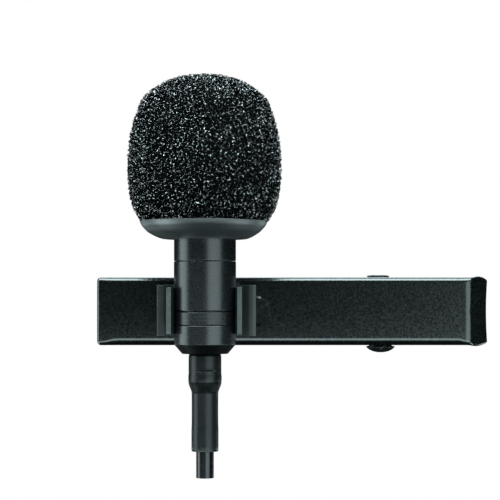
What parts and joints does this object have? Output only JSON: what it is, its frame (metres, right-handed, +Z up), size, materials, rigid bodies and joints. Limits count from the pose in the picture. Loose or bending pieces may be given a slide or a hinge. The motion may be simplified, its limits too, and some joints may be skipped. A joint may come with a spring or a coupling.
{
  "type": "lavalier microphone",
  "caption": "Clip-on lapel microphone: foam windscreen over a slim electret barrel, held in a swivelling snap-in cradle on a sprung tie-bar clip.",
  "frame": {"origin": "on the rear jaw's flat outer face, straight behind the microphone's axis at the bar's mid-height", "axes": "+Z up along the microphone towards the windscreen, +X along the bar towards the thumb end, +Y back towards the wearer, so the front faces -Y"},
  "size_m": [0.0482, 0.0216, 0.0484],
  "materials": {
    "windscreen_foam": "matte",
    "collar_rubber": "satin",
    "mic_shell": "satin",
    "clip_paint": "satin",
    "pin_black": "gloss",
    "spring_steel": "satin",
    "boot_rubber": "satin",
    "cable_jacket": "satin",
    "shield_copper": "satin",
    "conductor_red": "satin",
    "conductor_white": "satin",
    "capsule_aluminium": "satin",
    "circuit_board": "gloss",
    "chip_plastic": "matte",
    "felt": "matte",
    "metallised_film": "gloss",
    "white_plastic": "satin",
    "crimp_brass": "satin",
    "capsule_rubber": "matte"
  },
  "bodies": {
    "clip_bar": {"front_plate": "clip_paint", "hinge_pin": "pin_black", "torsion_spring": "spring_steel", "cradle_rivet": "pin_black", "cradle_washer": "spring_steel"},
    "jaw": {"rear_jaw": "clip_paint"},
    "cradle": {"mic_cradle": "clip_paint"},
    "mic_carrier": {"ribbed_ring": "mic_shell"},
    "mic": {"head_shell": "mic_shell", "head_grille": "spring_steel", "felt_disc": "felt", "capsule_boot": "capsule_rubber", "capsule_can": "capsule_aluminium", "diaphragm": "metallised_film", "diaphragm_spacer": "white_plastic", "backplate": "crimp_brass", "backplate_holder": "white_plastic", "capsule_board": "circuit_board", "jfet": "chip_plastic", "signal_lead": "conductor_red", "ground_lead": "chip_plastic", "main_barrel": "mic_shell", "termination_board": "circuit_board", "emi_capacitor_a": "white_plastic", "emi_capacitor_b": "white_plastic", "rear_cap": "mic_shell", "strain_relief_boot": "boot_rubber", "cable_crimp": "crimp_brass", "cable_jacket": "cable_jacket", "cable_shield": "shield_copper", "conductor_red": "conductor_red", "core_red": "shield_copper", "conductor_white": "conductor_white", "core_white": "shield_copper"},
    "windscreen": {"windscreen_collar": "collar_rubber", "foam_windscreen": "windscreen_foam"}
  },
  "joints": [
    {"name": "jaw_hinge", "type": "hinge", "parent": "clip_bar", "child": "jaw", "pos_m": [0.02125, -0.0027, 0], "axis": [0, 0, -1], "range_deg": [0, 14], "stiffness_Nm_per_rad": 0.002, "deforming": ["torsion_spring"]},
    {"name": "cradle_swivel", "type": "hinge", "parent": "clip_bar", "child": "cradle", "pos_m": [0, -0.0055, 0.0001], "axis": [0, 1, 0], "range_deg": [-30, 30]},
    {"name": "mic_slide", "type": "slide", "parent": "cradle", "child": "mic_carrier", "axis": [0, 0, 1], "range_m": [-0.002, 0.003]},
    {"name": "mic_spin", "type": "hinge", "parent": "mic_carrier", "child": "mic", "pos_m": [0, -0.0099, 0], "axis": [0, 0, 1], "continuous": true},
    {"name": "windscreen_pull", "type": "slide", "parent": "mic", "child": "windscreen", "axis": [0, 0, 1], "range_m": [0, 0.008]}
  ]
}
